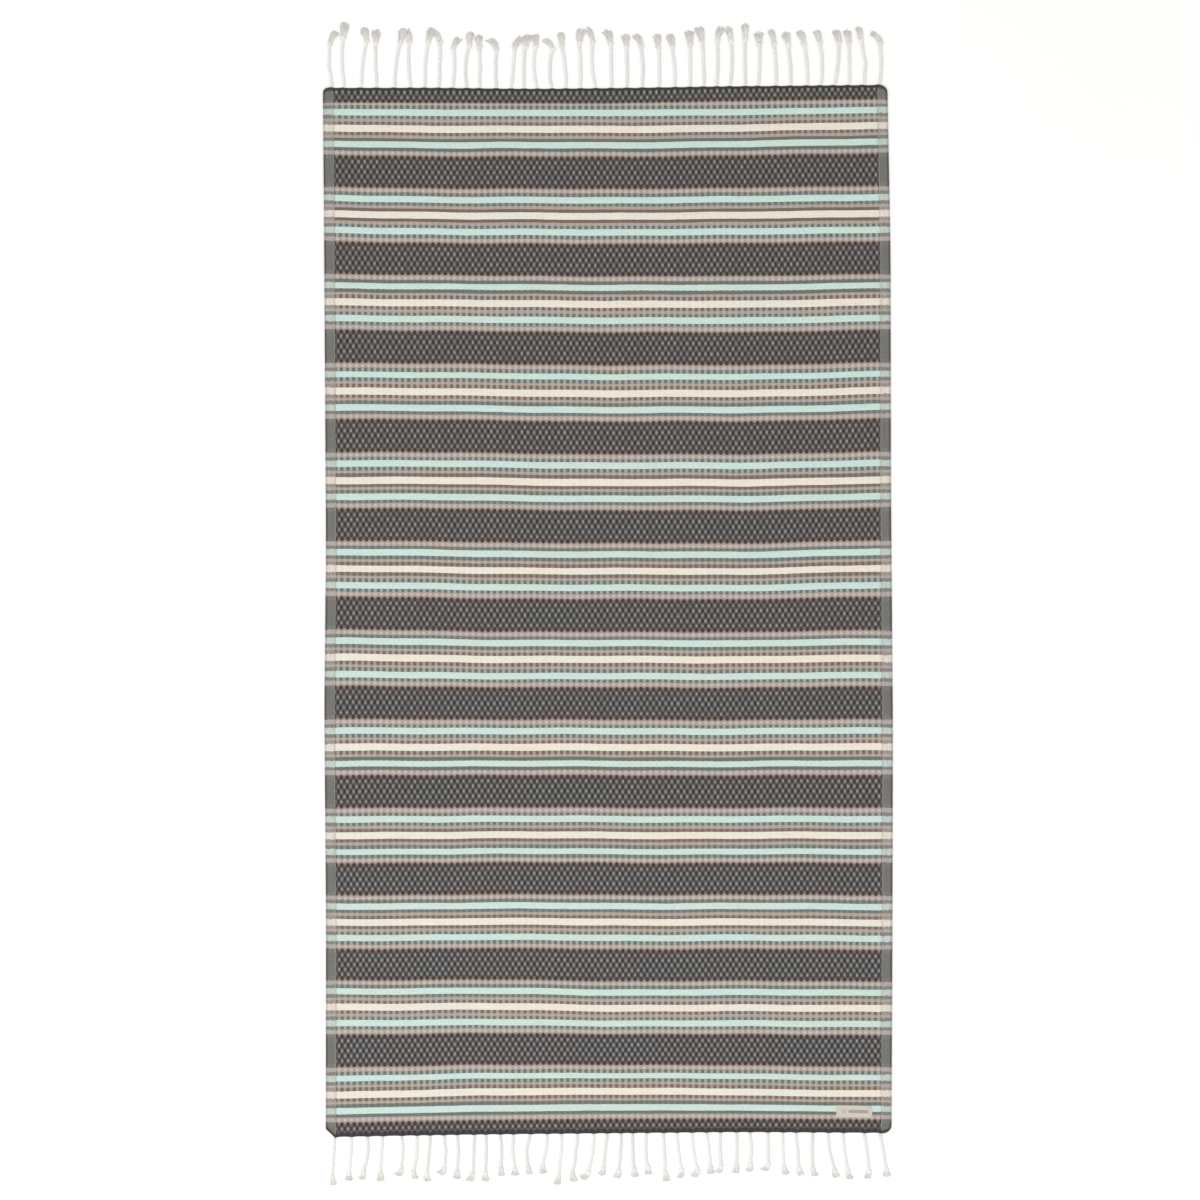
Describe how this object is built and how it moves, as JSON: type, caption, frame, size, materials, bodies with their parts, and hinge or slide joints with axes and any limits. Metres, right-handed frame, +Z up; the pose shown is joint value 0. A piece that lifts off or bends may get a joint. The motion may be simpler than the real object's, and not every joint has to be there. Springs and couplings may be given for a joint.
{
  "type": "bath mat",
  "caption": "Flat-woven striped cotton bath mat with turned side hems, a small blank label and knotted fringe on both ends, laid flat.",
  "frame": {"origin": "on the surface the mat lies on, under the middle of its whole outline, fringe included", "axes": "+Z up out of the face, +Y along the length away from the labelled end, +X to the right, towards the labelled side"},
  "size_m": [0.96, 1.977, 0.007],
  "materials": {
    "cloth": "striped cotton flat weave, matte",
    "hem": "striped cotton flat weave, reverse side, matte",
    "thread": "cotton sewing thread, matte",
    "label": "woven ribbon, smooth matte",
    "fringe": "twisted undyed cotton yarn, matte"
  },
  "bodies": {
    "front_half": {"woven_panel_front": "cloth", "side_hem_left_front": "hem", "side_hem_right_front": "hem", "hem_stitching_left_front": "thread", "hem_stitching_right_front": "thread", "woven_label": "label", "label_stitching": "thread"},
    "back_half": {"woven_panel_back": "cloth", "side_hem_left_back": "hem", "side_hem_right_back": "hem", "hem_stitching_left_back": "thread", "hem_stitching_right_back": "thread"},
    "front_fringe": {"front_tassels_01": "fringe", "front_tassels_02": "fringe", "front_tassels_03": "fringe", "front_tassels_04": "fringe", "front_tassels_05": "fringe", "front_tassels_06": "fringe", "front_tassels_07": "fringe", "front_tassels_08": "fringe", "front_tassels_09": "fringe", "front_tassels_10": "fringe", "front_tassels_11": "fringe", "front_tassels_12": "fringe", "front_tassels_13": "fringe", "front_tassels_14": "fringe", "front_tassels_15": "fringe", "front_tassels_16": "fringe", "front_tassels_17": "fringe", "front_tassels_18": "fringe", "front_tassels_19": "fringe"},
    "back_fringe": {"back_tassels_01": "fringe", "back_tassels_02": "fringe", "back_tassels_03": "fringe", "back_tassels_04": "fringe", "back_tassels_05": "fringe", "back_tassels_06": "fringe", "back_tassels_07": "fringe", "back_tassels_08": "fringe", "back_tassels_09": "fringe", "back_tassels_10": "fringe", "back_tassels_11": "fringe", "back_tassels_12": "fringe", "back_tassels_13": "fringe", "back_tassels_14": "fringe", "back_tassels_15": "fringe", "back_tassels_16": "fringe", "back_tassels_17": "fringe", "back_tassels_18": "fringe", "back_tassels_19": "fringe"}
  },
  "joints": [
    {"name": "fold", "type": "hinge", "parent": "front_half", "child": "back_half", "pos_m": [0, -0.0125, 0.004], "axis": [1, 0, 0], "range_deg": [0, 170]},
    {"name": "front_fringe_flip", "type": "hinge", "parent": "front_half", "child": "front_fringe", "pos_m": [0, -0.9025, 0.004], "axis": [-1, 0, 0], "range_deg": [0, 170]},
    {"name": "back_fringe_flip", "type": "hinge", "parent": "back_half", "child": "back_fringe", "pos_m": [0, 0.8775, 0.004], "axis": [1, 0, 0], "range_deg": [0, 170]}
  ]
}
